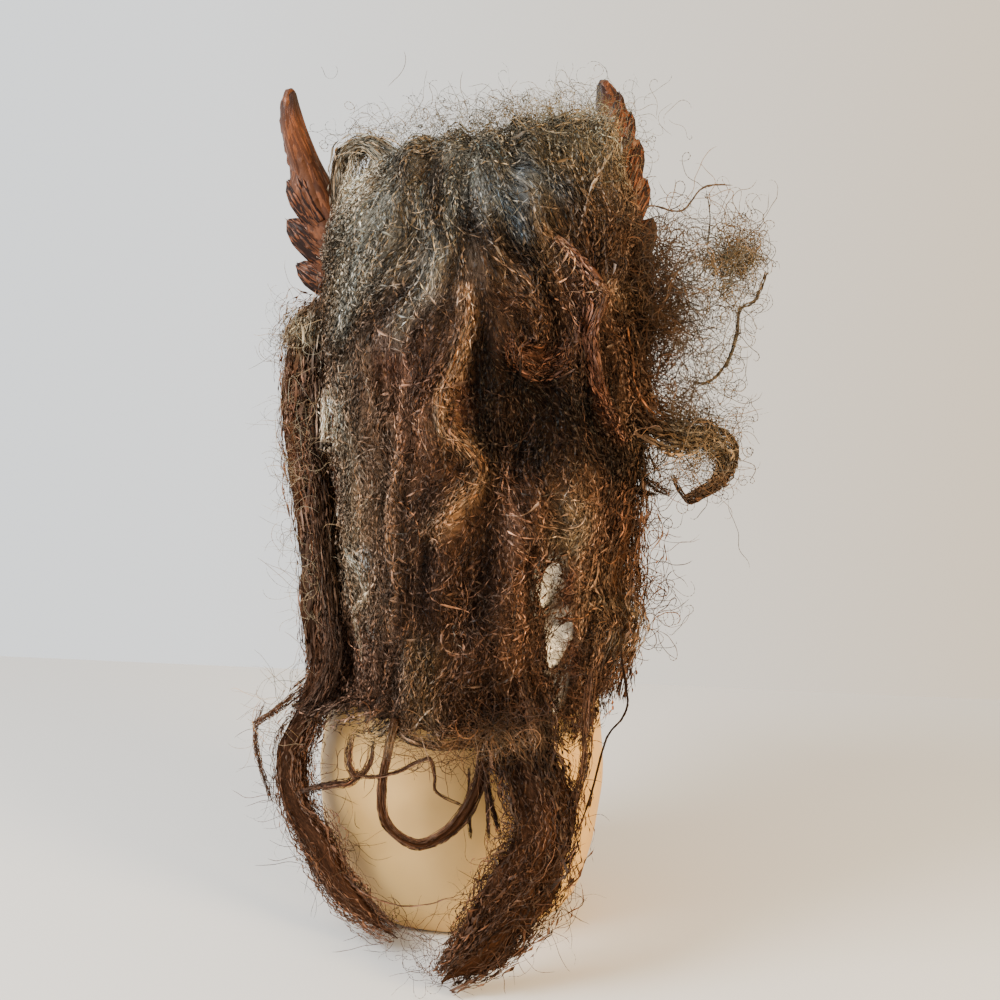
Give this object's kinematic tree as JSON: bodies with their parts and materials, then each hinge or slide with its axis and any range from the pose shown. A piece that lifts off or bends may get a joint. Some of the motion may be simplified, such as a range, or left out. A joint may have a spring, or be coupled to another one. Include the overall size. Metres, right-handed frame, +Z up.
{
  "type": "mask",
  "caption": "Wolf-man mask with upright fur-tufted ears, a snarling snout and long tangled brown hair, worn on a smooth cream display head.",
  "frame": {"origin": "centre of the display head's flat round foot, on the table", "axes": "+Z up through the head; the face looks along -Y and the long hair hangs on the +Y side, which the picture shows; +X is to the left of the picture"},
  "size_m": [0.2328, 0.2837, 0.4287],
  "materials": {
    "head_foam": "smooth satin cream",
    "mask_rubber": "semi-gloss red-brown with a dark wash in the hollows",
    "strap_elastic": "matt woven cord",
    "hair": "crimped synthetic fibre, grey-olive at the crown, red-brown below"
  },
  "bodies": {
    "root": {"display_head": "head_foam", "mask_shell": "mask_rubber", "elastic_strap": "strap_elastic", "hair_curtain": "hair", "hair_lock_left": "hair", "hair_tail_right": "hair", "hair_side_right": "hair", "hair_curl_right": "hair", "hair_fold_left": "hair", "hair_loop": "hair"}
  },
  "joints": []
}
